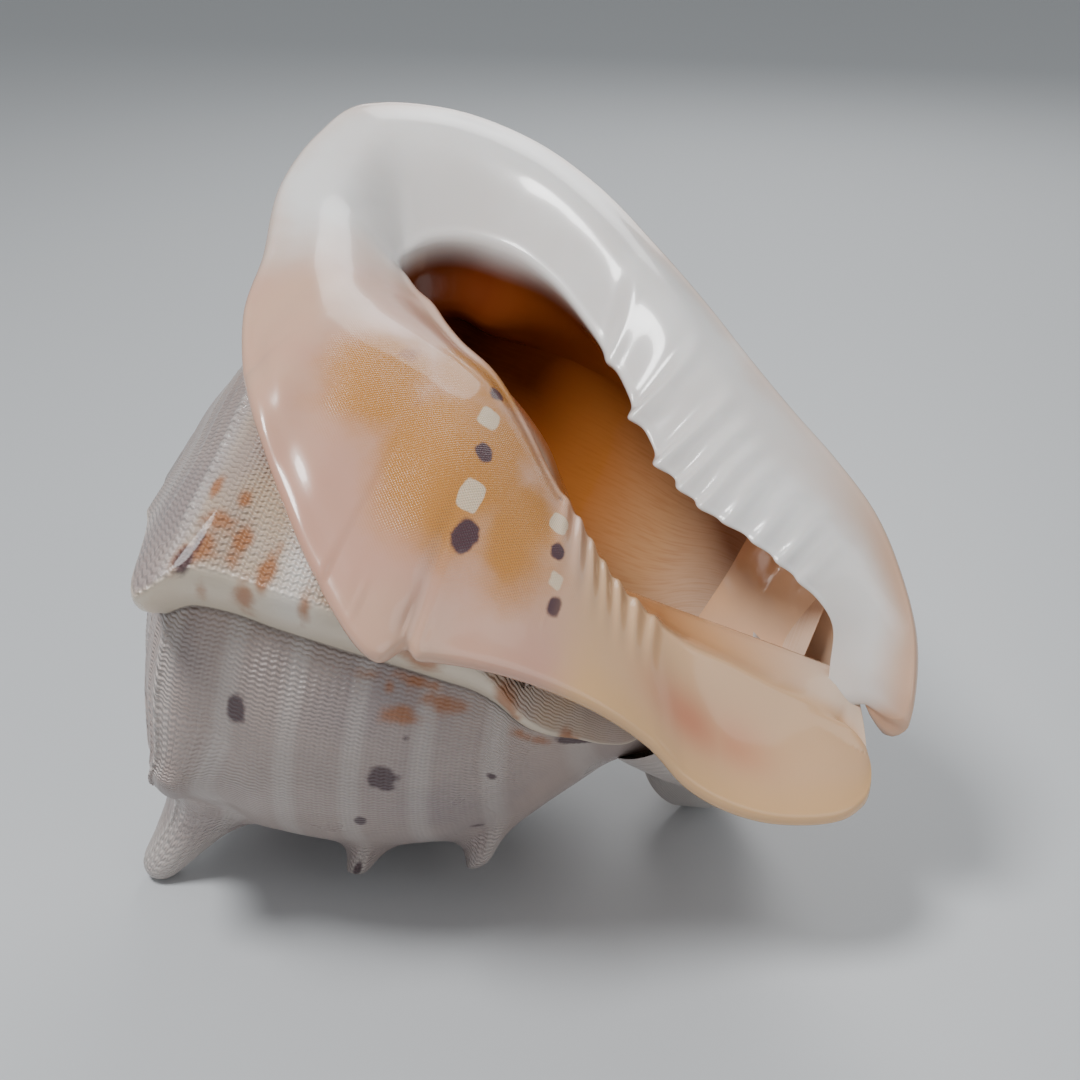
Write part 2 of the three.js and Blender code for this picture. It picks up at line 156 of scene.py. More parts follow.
def whorlPoints(age, unit, plain=False):
    turn = age + lagAt(unit)
    drop = unit * scaleAt(turn)
    radius = whorlRadius(turn, drop, plain)
    points = polar(turn, radius, drop)
    hornShare = np.zeros_like(radius)
    if plain:
        return points, hornShare
    for row in hornRows:
        for i, length in enumerate(row["lengths"]):
            hornTurn = row["firstTurn"] + hornShape["step"] * i
            hornDrop = row["drop"] * scaleAt(hornTurn)
            middle = whorlRadius(np.array([hornTurn]), np.array([hornDrop]))[0]
            reach = row["spread"] + hornShape["footPerLength"] * length
            across = np.radians(turn - hornTurn) * middle
            down = drop - hornDrop
            far = np.hypot(across / hornShape["stretch"], down) / reach
            near = far < 1
            if not near.any():
                continue
            f = np.maximum(far[near], 1e-6)
            share = curveAt(hornShape["gather"], f)
            stretch = 1 + (hornShape["stretch"] - 1) * smooth(share * hornShape["stretchBy"])
            pull = share / f
            footTurn = hornTurn + np.degrees(across[near] * pull * stretch / hornShape["stretch"] / middle)
            footDrop = hornDrop + down[near] * pull
            foot = polar(footTurn, whorlRadius(footTurn, footDrop), footDrop)
            lean = math.radians(row["lean"])
            upward = polar(np.array([hornTurn]), math.cos(lean), -math.sin(lean))[0]
            height = curveAt(hornShape["outline"], share)
            points[near] = foot + upward * (height * length)[:, None]
            hornShare[near] = height * min(1, length / hornShape["fullLength"])
    return points, hornShare


def shellMesh(name, rows, fields, closeAround=False, skip=None):
    count, width = rows.shape[:2]
    world = (rows.reshape(-1, 3) @ lieMatrix.T + np.array(lie["shift"])) / 1000
    world = np.clip(world, np.array(cadBox[0]), np.array(cadBox[1]))
    columns = width if closeAround else width - 1
    i, j = np.meshgrid(np.arange(count - 1), np.arange(columns), indexing="ij")
    a = i * width + j
    b = i * width + (j + 1) % width
    faces = np.stack([a, b, b + width, a + width], -1).reshape(-1, 4)
    if skip is not None:
        faces = faces[~skip.ravel()[faces].all(1)]
    mesh = bpy.data.meshes.new(name)
    mesh.from_pydata(world.tolist(), [], faces.tolist())
    mesh.shade_smooth()
    for key, values in fields.items():
        layer = mesh.attributes.new(key, "FLOAT", "POINT")
        layer.data.foreach_set("value", np.broadcast_to(values, (count, width)).astype(np.float32).ravel())
    piece = bpy.data.objects.new(name, mesh)
    bpy.context.collection.objects.link(piece)
    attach(piece, "root")
    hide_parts("shell")
    print("made", name, len(faces), "faces")
    return piece


# The bent canal: its middle line, the way that its slit faces, its radius and half the slit's width
canal = {
    "centre": [
        (4, -128, 0), (3, -152, -8), (4, -167, -22), (8, -173, -38), (12, -171, -55), (15, -164, -67.4),
    ],
    "open": [
        (0, -0.3, 1), (0, -0.55, 0.85), (0, -0.8, 0.6), (0, -1, 0.2), (0, -0.95, -0.3), (0, -0.85, -0.5),
    ],
    "radius": [26, 28, 24, 19, 15.5, 13],
    "slit": [5, 4, 3.5, 4, 4.5, 5],
    "slices": 90,
    "around": 61,
    "firstSeen": 1.1,
    "slitPath": [
        (1, 14), (1, 8), (1.08, 2), (0.8, -2.4), (0, -3), (-0.8, -2.4), (-1.08, 2), (-1, 8), (-1, 14),
    ],
    "slitWall": 1.5,
    "cut": {"steps": 41, "near": 3.5, "floor": -3, "above": 8},  # where the slit opens the whorl
}


def throughPoints(points, u):
    points = np.array(points, float)
    k = np.clip(np.floor(u).astype(int), 0, len(points) - 2)
    t = (u - k)[..., None]
    padded = np.concatenate([[2 * points[0] - points[1]], points, [2 * points[-1] - points[-2]]])
    p0, p1, p2, p3 = (padded[k + i] for i in range(4))
    return fourPointCurve(p0, p1, p2, p3, t)


def knotGap(a, b):
    return np.maximum(np.linalg.norm(b - a, axis=-1, keepdims=True) ** 0.5, 1e-4)


def fourPointCurve(p0, p1, p2, p3, t):
    d0, d1, d2 = knotGap(p0, p1), knotGap(p1, p2), knotGap(p2, p3)
    m1 = ((p1 - p0) / d0 - (p2 - p0) / (d0 + d1) + (p2 - p1) / d1) * d1
    m2 = ((p2 - p1) / d1 - (p3 - p1) / (d1 + d2) + (p3 - p2) / d2) * d1
    bent = (-3 * p1 + 3 * p2 - 2 * m1 - m2) * t**2 + (2 * p1 - 2 * p2 + m1 + m2) * t**3
    return p1 + m1 * t + bent


def unitVector(v):
    return v / np.maximum(np.linalg.norm(v, axis=-1, keepdims=True), 1e-9)


def canalFrames(u):
    middle = throughPoints(canal["centre"], u)
    out = unitVector(throughPoints(canal["open"], u))
    side = unitVector(np.array([1.0, 0, 0]) - out * out[..., :1])
    radius = throughPoints(np.array(canal["radius"])[:, None], u)[..., 0]
    slit = throughPoints(np.array(canal["slit"])[:, None], u)[..., 0]
    return middle, out, side, radius, slit


def inSlit(points):
    cut = canal["cut"]
    u = np.linspace(0, len(canal["centre"]) - 1, cut["steps"])
    middle, out, side, radius, slit = canalFrames(u)
    flat = points.reshape(-1, 3)
    tangent = unitVector(np.gradient(middle, axis=0))
    inside = np.zeros(len(flat), bool)
    for k in range(len(u)):
        away = flat - middle[k]
        near = np.abs(away @ tangent[k]) < cut["near"]
        between = (away @ out[k] > cut["floor"]) & (away @ out[k] < radius[k] + cut["above"])
        inside |= near & (np.abs(away @ side[k]) < slit[k]) & between
    return inside.reshape(points.shape[:2])


hollowSpace = {"units": (30, 141), "ages": (185, 312), "overOlder": 1.5, "leastRadius": 12}


def inHollow(points, margin=0.0):
    flat = points.reshape(-1, 3)
    drop = -flat[:, 1]
    radius = np.hypot(flat[:, 0], flat[:, 2])
    turn = np.degrees(np.arctan2(-flat[:, 0], flat[:, 2]))
    inside = np.zeros(len(flat), bool)
    for lap in (0, 360):
        unit = drop / scaleAt(turn + lap)
        age = turn + lap - lagAt(unit)
        far = whorlRadius(turn + lap, drop, True) - growth["wall"] - margin
        older = whorlRadius(turn + lap - 360, drop, True)
        near = np.maximum(older + hollowSpace["overOlder"] + margin, hollowSpace["leastRadius"])
        low, high = hollowSpace["units"]
        first, last = hollowSpace["ages"]
        between = (unit > low + margin) & (unit < high - margin) & (radius < far) & (radius > near)
        inside |= (age > first) & (age < last) & between
    return inside.reshape(points.shape[:2])


# The last whorl, one full turn back from the lip, with the canal's slit left open
quick = 1
bead = {"height": 0.35, "perTurn": 190}
whorlGrid = {
    "ages": 540,
    "units": 184,
    "ageShares": (0, 0.12, 0.36, 0.75, 1),
    "ageStops": (-70, 10, 62, 180, 290),
    "firstUnit": 15,
    "lastUnit": 157,
    "cords": [(35.5, 1.1, 1.1), (31, 0.6, 0.5), (27, 0.8, 0.7), (22, 0.7, 0.6)],  # unit, width, height
    "cordGap": (40, 60, 8),  # no cords on the old lip
    "tuckIn": 7,
    "tuckUnit": 15.5,
    "innerAge": -18,
    "innerUnit": 46,
}


def cordsAt(age, unit, cords):
    height = sum(strong * bell(unit, at, wide) for at, wide, strong in cords)
    return height * (1 + bead["height"] * np.sin(np.radians(age) * bead["perTurn"]))


ageShare = np.linspace(0, 1, int(whorlGrid["ages"] * quick))
ages = np.interp(ageShare, whorlGrid["ageShares"], whorlGrid["ageStops"])
units = np.linspace(whorlGrid["firstUnit"], whorlGrid["lastUnit"], int(whorlGrid["units"] * quick))
ageField, unitField = np.meshgrid(ages, units, indexing="ij")
whorlRows, hornField = whorlPoints(ageField, unitField)
gapStart, gapEnd, gapEase = whorlGrid["cordGap"]
onOldLip = smooth((ageField - gapStart) / gapEase) * (1 - smooth((ageField - gapEnd) / gapEase))
cordField = cordsAt(ageField, unitField, whorlGrid["cords"]) * (1 - onOldLip)
lean = np.radians(ageField + lagAt(unitField))
whorlRows += np.stack([-np.sin(lean), 0 * lean, np.cos(lean)], -1) * cordField[..., None]

# One more row turns the whorl's first edge in, under the turn before it
edgeAge = ageField[:, :1]
edgeRadius = whorlRadius(edgeAge, whorlGrid["firstUnit"] * scaleAt(edgeAge), True)
tucked = polar(edgeAge, edgeRadius - whorlGrid["tuckIn"], whorlGrid["tuckUnit"] * scaleAt(edgeAge))
whorlRows = np.concatenate([tucked, whorlRows], 1)
ageField, unitField, hornField, cordField = (
    np.concatenate([a[:, :1], a], 1) for a in (ageField, unitField, hornField, cordField)
)
innerField = smooth((whorlGrid["innerAge"] - ageField) / 18)
innerField = innerField * smooth((unitField - whorlGrid["innerUnit"]) / 10)
whorl = shellMesh("whorl", whorlRows, {
    "age": ageField,
    "inner": innerField,
    "unit": unitField,
    "horn": hornField,
    "cord": cordField,
    "ridge": ageField - varix["spoutLag"] * bell(unitField, varix["spoutDrop"], varix["spoutWidth"]),
}, skip=inSlit(whorlRows))

# The spire: the same spiral further back, with a row of knobs
spire = {
    "turns": 900,
    "across": 40,
    "ageShares": (0, 0.2, 1),
    "ageStops": (-2300, -1400, -40),
    "firstUnit": 15,
    "lastUnit": 52,
    "knobDrop": 20,
    "knobWidth": 3,
    "knobsPerTurn": 11,
    "knob": 2.2,
    "sunk": 0.3,
    "cords": [(35.5, 1.5, 1), (27, 1.2, 0.6), (44, 1.2, 0.6)],
    "tip": 4.2,
    "tipDrop": 4.6,
    "tipGrid": (16, 32),
}
spireShare = np.linspace(0, 1, int(spire["turns"] * quick))
spireAge, spireUnit = np.meshgrid(
    np.interp(spireShare, spire["ageShares"], spire["ageStops"]),
    np.linspace(spire["firstUnit"], spire["lastUnit"], int(spire["across"] * quick)),
    indexing="ij",
)
knobs = np.maximum(0, np.cos(np.radians(spireAge * spire["knobsPerTurn"]))) ** 2
knobs = knobs * bell(spireUnit, spire["knobDrop"], spire["knobWidth"])
spireTurn = spireAge + lagAt(spireUnit)
spireDrop = spireUnit * scaleAt(spireTurn)
raised = spire["knob"] * knobs - spire["sunk"] + cordsAt(spireAge, spireUnit, spire["cords"])
spireRadius = whorlRadius(spireTurn, spireDrop, True) + raised * scaleAt(spireAge)
spireCord = sum(strong * bell(spireUnit, at, wide) for at, wide, strong in spire["cords"])
spireRows = polar(spireTurn, spireRadius, spireDrop)
spireSheet = shellMesh("spire", spireRows, {
    "age": spireAge,
    "unit": spireUnit,
    "horn": knobs,
    "cord": spireCord,
    "ridge": spireAge,
    "inner": 0 * spireAge,
})

# The first, ball-shaped turn
tipSpots = np.linspace(0, math.pi, spire["tipGrid"][0])[:, None]
tipTurns = np.linspace(0, 360, spire["tipGrid"][1], endpoint=False)[None, :]
tipDrops = spire["tipDrop"] - spire["tip"] * np.cos(tipSpots)
tipRows = polar(tipTurns, spire["tip"] * np.sin(tipSpots), tipDrops)
tipFields = {"age": -1500, "unit": 30, "horn": 0, "cord": 0, "ridge": -1500, "inner": 0}
spireTip = shellMesh("spireTip", tipRows, tipFields, closeAround=True)

# The hollow: its outer side is the inside of the wall, its inner side lies on the older whorl
hollowGrid = {
    "ages": 150,
    "around": 60,
    "unitStops": (30, 33, 38, 48, 64, 82, 98, 112, 123, 133, 141),
    "lastOuter": 287,
    "lastInner": 304,
    "lastFront": 296,
    "closeOver": 45,  # degrees over which the hollow opens from nothing
    "edgeInset": 5,
    "apart": 0.4,
    "flare": (0.6, 2.5, 6),
}
unitStops = hollowGrid["unitStops"]
hollowSpots = np.linspace(0, len(unitStops) - 1, hollowGrid["around"])
hollowUnits = np.interp(hollowSpots, range(len(unitStops)), unitStops)
part = np.linspace(0, 1, int(hollowGrid["ages"] * quick))[:, None]


def hollowSide(last, outer):
    unit = np.broadcast_to(hollowUnits, (len(part), len(hollowUnits)))
    end = last + (hollowGrid["lastFront"] - last) * smooth((unit - 112) / 22)
    age = growth["hollowStart"] + (end - growth["hollowStart"]) * part
    close = smooth((age - growth["hollowStart"]) / hollowGrid["closeOver"])
    turn = age + lagAt(unit)
    drop = unit * scaleAt(turn)
    inset = hollowGrid["edgeInset"] * (1 - smooth((unit - unitStops[0]) / 3))
    far = whorlRadius(turn, drop, True) - growth["wall"] - inset
    olderDrop = np.minimum(drop, whorlGrid["lastUnit"] * scaleAt(turn - 360))
    older = whorlRadius(turn - 360, olderDrop, True)
    near = np.maximum(older + hollowSpace["overOlder"] + inset, hollowSpace["leastRadius"])
    middle = (far + near) / 2
    apart = hollowGrid["apart"]
    radius = middle + apart + (far - middle - apart) * close
    if not outer:
        radius = middle - apart + (np.minimum(near, far - 1) - middle + apart) * close
    return polar(turn, radius, drop), age + 0 * unit, unit


def flared(side, sign):
    rows, age, unit = side
    last = rows[-1]
    out = last * np.array([1.0, 0, 1.0])
    out = out / np.linalg.norm(out, axis=-1, keepdims=True) * sign
    out[:, 1] += 0.8 * (1 - smooth((unit[-1] - unitStops[0]) / 8))  # the top edge leans to the spire
    out = out * (1 - 0.9 * smooth((unit[-1] - 84) / 20))[:, None]  # and the front edge hardly flares
    extra = [last + out * reach for reach in hollowGrid["flare"]]
    ages = np.vstack([age] + [age[-1]] * len(extra))
    units = np.vstack([unit] + [unit[-1]] * len(extra))
    return np.concatenate([rows, extra]), ages, units


outerSide = flared(hollowSide(hollowGrid["lastOuter"], True), 1)
innerSide = flared(hollowSide(hollowGrid["lastInner"], False), -1)
hollowRows, hollowAge, hollowUnit = (np.concatenate([a, b[:, ::-1]], 1) for a, b in zip(outerSide, innerSide))
hollowFields = {"age": hollowAge[:, ::-1], "unit": hollowUnit[:, ::-1]}
shellMesh("hollow", hollowRows[:, ::-1], hollowFields, closeAround=True)

# The canal, a bent pipe with a slit along the outside of its bend
canalU = np.linspace(0, len(canal["centre"]) - 1, int(canal["slices"] * quick))
middle, out, side, radius, slit = (a[:, None] for a in canalFrames(canalU))
half = np.arcsin(slit / radius)
around = np.linspace(0, 1, canal["around"])[None, :]
angle = math.pi / 2 + half + (2 * math.pi - 2 * half) * around
wallX, wallY = np.cos(angle) * radius, np.sin(angle) * radius
slitPath = np.array(canal["slitPath"])
slitX = slitPath[:, 0] * slit
slitY = np.minimum(slitPath[:, 1] + 0 * slit, radius - canal["slitWall"])
crossX = np.concatenate([wallX, slitX], 1)[..., None]
crossY = np.concatenate([wallY, slitY], 1)[..., None]
canalRows = middle + side * crossX + out * crossY
canalDepth = np.concatenate([0 * wallX, 1 + 0 * slitX], 1)
canalHidden = inHollow(canalRows, -2) | (canalU[:, None] < canal["firstSeen"])
canalFields = {"age": canalU[:, None], "unit": canalDepth}
shellMesh("canal", canalRows, canalFields, closeAround=True, skip=canalHidden)

# The strip round the opening: outer lip, spire end, shield and columella, each station as [x, y, z] of its
# inner edge, its highest line and its rim
strip = {
    "edge": [
        (-3, -193, 8), (4, -190, 18), (10, -186, 28), (14, -174, 35), (17, -160, 40), (21, -143, 43),
        (30, -129, 44), (43, -118, 45), (54, -110, 45), (67, -98, 45), (81, -82, 45), (89, -66, 44),
        (89, -50, 42), (84, -41, 40), (78, -38, 38), (71, -39, 40), (66, -43, 42), (61, -48, 43),
        (56, -54, 45), (48, -61, 47), (41, -68, 49), (34, -79, 50), (21, -92, 50), (7, -104, 49),
        (-2, -116, 44), (-9, -128, 37), (-12, -141, 31), (-13, -152, 27), (-12, -164, 24), (-11, -178, 20),
        (-9, -192, 16), (-8, -200, 11),
    ],
    "crest": [
        (-4, -203, 16), (2, -200, 24), (13, -197, 32), (24, -186, 39), (30, -172, 45), (36, -156, 49),
        (46, -144, 52), (58, -131, 54), (72, -118, 57), (86, -101, 58), (101, -81, 59), (110, -62, 59),
        (112, -39, 59), (104, -22, 57), (88, -18, 57), (72, -19, 57), (54, -25, 60), (30, -33, 66),
        (14, -44, 68), (4, -54, 68), (-6, -68, 66), (-12, -82, 66), (-18, -94, 62), (-20, -106, 56),
        (-22, -120, 48), (-25, -132, 40), (-26, -143, 33), (-27, -155, 24), (-27, -168, 17), (-25, -182, 14),
        (-19, -197, 14), (-13, -206, 12),
    ],
    "rim": [
        (-8, -212, 17), (-2, -211, 25), (14, -207, 31), (30, -198, 36), (42, -188, 40), (53, -174, 43),
        (63, -158, 46), (74, -142, 49), (87, -126, 51), (101, -107, 53), (118, -83, 54), (129, -58, 54),
        (130, -31, 54), (118, -7, 54), (98, -2, 55), (71, -3, 57), (38, -12, 61), (8, -19, 66),
        (-20, -33, 66), (-38, -48, 62), (-56, -66, 60), (-68, -85, 56), (-60, -97, 52), (-55, -110, 49),
        (-50, -124, 43), (-47, -137, 37), (-45, -151, 28), (-46, -163, 19), (-45, -175, 14), (-42, -188, 12),
        (-33, -204, 11), (-20, -211, 10),
    ],
    "firstShield": 15,
    "thickness": {"lip": 9, "shield": 4.5},
    "callus": 2,
    "drapeBlend": 8,
    "overWhorl": 3.5,
    "shieldEase": 2.5,
    "teeth": {
        "places": (8.35, 6.85, 5.85, 5.3, 4.85, 4.45, 3.95, 3.4, 2.9),
        "sizes": (0.5, 1.1, 1.2, 1, 1, 0.8, 0.6, 0.6, 0.4),
        "width": 0.18,
        "height": 2.4,
        "length": 3.4,
        "groove": 0.35,
        "grooveAt": 0.25,
    },
    "folds": {
        "places": (23.6, 24, 24.4, 24.8, 25.2, 25.65, 26.1),
        "sizes": (0.7, 1, 1, 1, 1, 1, 0.7),
        "width": 0.15,
        "height": 1.5,
        "length": 1.5,
    },
    "slices": 900,
    "facePoints": 19,
    "slant": -0.9,
    "roundEnd": 0.5,
    "notch": {"place": 21.45, "width": 0.2, "depth": 4.5},
    "spotCounts": (10, 60, 12, 10),
    "behind": {"back": (-1.5, 270), "root": (-5, 274), "deep": (-7.5, 282), "shield": (2, -74)},
    "insets": {"root": (0.75, 9), "back": (0.4, 5), "dip": (0.2, 2)},
}


farBelow = -500  # stands in for no whorl under a point


def whorlHeight(x, drop):
    z = np.full(np.broadcast(x, drop).shape, 40.0)
    beside = np.zeros(z.shape, bool)
    for i in range(6):
        radius = whorlRadius(np.degrees(np.arctan2(-x, z)), drop)
        beside |= radius <= np.abs(x)
        z = np.sqrt(np.maximum(radius**2 - x**2, 1))
    return np.where(beside, -np.inf, z)


def softMax(a, b, blend):
    gap = np.maximum(blend - np.abs(a - b), 0) / blend
    return np.maximum(a, b) + gap * gap * blend / 4


def nearWhorl(points, out, age):
    drop = -points[:, 1]
    turn = age + 0 * drop
    for i in range(8):
        turn = age + lagAt(drop / scaleAt(turn))
    return polar(turn, np.maximum(whorlRadius(turn, drop, True) + out, 4), drop)


def bumps(u, kind):
    return sum(size * bell(u, place, kind["width"]) for place, size in zip(kind["places"], kind["sizes"]))


def mix(a, b, share):
    return a + (b - a) * share


# Slices from station to station, closer together at the strip's two round ends
lastStation = len(strip["edge"]) - 1
stripU = np.linspace(0, 1, int(strip["slices"] * quick))
stripU = np.interp(stripU, [0, 0.04, 0.96, 1], [0, 0.5, lastStation - 0.5, lastStation])
edge, crest, rim = (throughPoints(strip[line], stripU) for line in ("edge", "crest", "rim"))
ground = whorlHeight(rim[:, 0], -rim[:, 1])
onShield = stripU > strip["firstShield"]
rim[:, 2] = np.where(onShield, np.maximum(rim[:, 2], ground + strip["overWhorl"]), rim[:, 2])
shield = smooth((stripU - strip["firstShield"]) / strip["shieldEase"])
col = shield[:, None]
outward = unitVector(rim - edge)
bite = bumps(stripU, strip["teeth"])
fold = bumps(stripU, strip["folds"])
notch = strip["notch"]
rim = rim - outward * (notch["depth"] * bell(stripU, notch["place"], notch["width"]))[:, None]
edge = edge - outward * (strip["teeth"]["length"] * bite + strip["folds"]["length"] * fold)[:, None]

faceT = np.linspace(0, 1, strip["facePoints"])
face = np.empty((len(stripU), len(faceT), 3))
before = 2 * edge - crest
after = 2 * rim - crest
for i, t in enumerate(faceT):
    if t < 0.5:
        face[:, i] = fourPointCurve(before, edge, crest, rim, 2 * t)
    else:
        face[:, i] = fourPointCurve(edge, crest, rim, after, 2 * t - 1)
under = whorlHeight(face[:, :, 0], -face[:, :, 1])
draped = softMax(face[:, :, 2], np.maximum(under, farBelow) + strip["callus"], strip["drapeBlend"])
keep = smooth(faceT / 0.15) * smooth((1 - faceT) / 0.1)
face[:, :, 2] = mix(face[:, :, 2], draped, col * keep)
slanted = stripU[:, None] + strip["slant"] * faceT
biteFace = bumps(slanted, strip["teeth"])
biteFace -= strip["teeth"]["groove"] * bumps(slanted - strip["teeth"]["grooveAt"], strip["teeth"])
lift = strip["teeth"]["height"] * biteFace + strip["folds"]["height"] * fold[:, None]
face[:, :, 2] += lift * (1 - smooth((faceT - 0.1) / 0.6)) * smooth((faceT + 0.1) / 0.2)

thick = mix(strip["thickness"]["lip"], strip["thickness"]["shield"], col)
downward = np.array([0.0, 0, -1])
rimSide = rim + outward * thick * 0.25 + downward * thick * 0.45
rimUnder = rim - outward * thick * 0.1 + downward * thick


def insetUnder(t, depth):
    points = mix(rim, edge, t)
    z = whorlHeight(points[:, 0], -points[:, 1])
    plate = points[:, 2] - thick[:, 0]
    sunk = np.minimum(plate, np.maximum(z, farBelow) - depth)
    points[:, 2] = np.where(z > -np.inf, sunk, plate - depth * 0.5)
    return points


# Under the face the strip goes on to the whorl's back, into its wall and out again in the hollow
behind, insets = strip["behind"], strip["insets"]
lipBack = nearWhorl(edge, *behind["back"])
lipRoot = nearWhorl(edge, *behind["root"])
lipDeep = nearWhorl(edge, *behind["deep"])
lipHollow = mix(rimUnder, lipBack, 0.5) - outward * 3
nearNotch = smooth((stripU - 9.5) / 2) * (1 - smooth((stripU - 15.5) / 1.5))
deep = mix(lipDeep, nearWhorl(edge, *behind["shield"]), col) - outward * (1 + 6 * nearNotch)[:, None]
root = mix(lipRoot, insetUnder(*insets["root"]), col)
back = mix(lipBack, insetUnder(*insets["back"]), col)
dip = mix(lipHollow, insetUnder(*insets["dip"]), col)
throat = mix(deep, edge, 0.55) + outward * 1.5

corners = np.concatenate(
    [np.stack([deep, throat], 1), face, np.stack([rimSide, rimUnder, dip, back, root], 1)], 1
)
total = corners.shape[1]
stretches = (0, 2, 1 + len(faceT), 4 + len(faceT), total)
spots = np.concatenate([
    np.linspace(a, b, count, endpoint=False)
    for a, b, count in zip(stretches, stretches[1:], strip["spotCounts"])
])
base = np.floor(spots).astype(int)
p0, p1, p2, p3 = (corners[:, (base + i) % total] for i in (-1, 0, 1, 2))
stripRows = fourPointCurve(p0, p1, p2, p3, (spots - base)[None, :, None])
fromEnd = np.minimum(stripU, stripU[-1] - stripU)
shrink = np.sqrt(1 - (1 - np.clip(fromEnd / strip["roundEnd"], 0, 1)) ** 2)[:, None, None]
stripMiddle = stripRows.mean(1, keepdims=True)
stripRows = mix(stripMiddle, stripRows, np.maximum(shrink, 0.001))
acrossAt = [0, 2] + [len(faceT) + i for i in (1, 2, 3, 5, 6, 7)]
across = np.interp(spots, acrossAt, [-1, 0, 1, 1.2, 1.4, 2, -1.2, -1])
stripTurn = np.degrees(np.arctan2(-stripRows[:, :, 0], stripRows[:, :, 2]))
stripUnit = -stripRows[:, :, 1] / scaleAt(stripTurn + 360)
stripPiece = shellMesh(
    "rim",
    stripRows[:, ::-1],
    {
        "along": stripU[:, None],
        "across": across[None, ::-1],
        "side": stripRows[:, ::-1, 0],
        "drop": -stripRows[:, ::-1, 1],
        "unit": stripUnit[:, ::-1],
    },
    closeAround=True,
)

# The floor of the canal, from the lip's inner side to the columella
floorGrid = {
    "rows": 40,
    "across": 24,
    "lipPlaces": (0.3, 4.2),
    "shieldPlaces": (30.9, 26.6),
    "tuck": 2.5,
    "below": 2.0,
    "sag": 16,
}
rowShare = np.linspace(0, 1, floorGrid["rows"])


def floorEdge(places):
    at = np.interp(mix(*places, rowShare), stripU, np.arange(len(stripU))).astype(int)
    return throat[at] + outward[at] * floorGrid["tuck"] - np.array([0, 0, floorGrid["below"]])


acrossShare = np.linspace(0, 1, floorGrid["across"])[None, :, None]
lipStart = floorEdge(floorGrid["lipPlaces"])
shieldStart = floorEdge(floorGrid["shieldPlaces"])
floorRows = mix(lipStart[:, None], shieldStart[:, None], acrossShare)
floorRows[:, :, 2] -= floorGrid["sag"] * (1 - (2 * acrossShare[..., 0] - 1) ** 4)
shellMesh("canalFloor", floorRows, {"age": 280, "unit": 138 - 14 * rowShare[:, None]})
print("all pieces shaped")


# One material's nodes, with short calls for what the finishes share
class Sheet:
    def __init__(self, name):
        self.material = bpy.data.materials.new(name)
        self.material.use_nodes = True
        self.tree = self.material.node_tree
        self.tree.nodes.clear()
        self.output = self.tree.nodes.new("ShaderNodeOutputMaterial")

    def feed(self, socket, value):
        if isinstance(value, bpy.types.NodeSocket):
            self.tree.links.new(value, socket)
        elif isinstance(value, tuple) and len(value) == 3 and len(socket.default_value) == 4:
            socket.default_value = (*value, 1)
        else:
            socket.default_value = value

    def node(self, kind, inputs=(), **settings):
        made = self.tree.nodes.new("ShaderNode" + kind)
        for key, value in settings.items():
            setattr(made, key, value)
        for key, value in dict(inputs).items():
            self.feed(made.inputs[key], value)
        return made

    def field(self, name):
        return self.node("Attribute", attribute_name=name).outputs["Fac"]

    def math(self, kind, a, b=0.0, c=0.0):
        return self.node("Math", {0: a, 1: b, 2: c}, operation=kind).outputs[0]

    def add(self, a, b):
        return self.math("ADD", a, b)

    def times(self, a, b):
        return self.math("MULTIPLY", a, b)

    def span(self, value, low, high, to=(0.0, 1.0)):
        inputs = {"Value": value, "From Min": low, "From Max": high, "To Min": to[0], "To Max": to[1]}
        return self.node("MapRange", inputs, interpolation_type="SMOOTHSTEP").outputs[0]

    def noise(self, scale, detail=3.0, where=None, distortion=0.0):
        place = self.node("TexCoord").outputs["Object"] if where is None else where
        inputs = {"Vector": place, "Scale": scale, "Detail": detail, "Distortion": distortion}
        return self.node("TexNoise", inputs).outputs["Fac"]

    def grid(self, x, y, z=0.0):
        return self.node("CombineXYZ", {"X": x, "Y": y, "Z": z}).outputs[0]

    def blend(self, share, a, b):
        made = self.node("Mix", data_type="RGBA")
        self.feed(made.inputs[0], share)
        self.feed(made.inputs[6], a)
        self.feed(made.inputs[7], b)
        return made.outputs[2]

    def ramp(self, value, stops):
        made = self.node("ValToRGB", {"Fac": value})
        while len(made.color_ramp.elements) < len(stops):
            made.color_ramp.elements.new(0.5)
        for element, (position, colour) in zip(made.color_ramp.elements, stops):
            element.position = position
            element.color = (*colour, 1)
        return made.outputs["Color"]

    def bump(self, height, strength, distance):
        inputs = {"Height": height, "Strength": strength, "Distance": distance}
        return self.node("Bump", inputs).outputs["Normal"]

    def finish(self, colour, roughness, normal=None, coat=0.0, glow=0.0):
        shader = self.node("BsdfPrincipled")
        self.feed(shader.inputs["Base Color"], colour)
        self.feed(shader.inputs["Roughness"], roughness)
        shader.inputs["Metallic"].default_value = 0.0
        shader.inputs["IOR"].default_value = 1.53
        shader.inputs["Coat Weight"].default_value = coat
        shader.inputs["Coat Roughness"].default_value = 0.06
        shader.inputs["Subsurface Weight"].default_value = glow
        shader.inputs["Subsurface Radius"].default_value = (1.0, 0.5, 0.3)
        shader.inputs["Subsurface Scale"].default_value = 0.004
        if normal is not None:
            self.feed(shader.inputs["Normal"], normal)
        self.tree.links.new(shader.outputs[0], self.output.inputs["Surface"])
        return self.material


def paint(piece, name, first, second, marks, power=2):
    mesh = piece.data
    read = {}
    for key in (first, second):
        read[key] = np.empty(len(mesh.vertices), np.float32)
        mesh.attributes[key].data.foreach_get("value", read[key])
    total = np.zeros(len(mesh.vertices))
    for (a, b), (wide, tall), strength in marks:
        far = np.abs((read[first] - a) / wide) ** power + np.abs((read[second] - b) / tall) ** power
        total = np.maximum(total, strength * np.exp(-far))
    mesh.attributes.new(name, "FLOAT", "POINT").data.foreach_set("value", total.astype(np.float32))


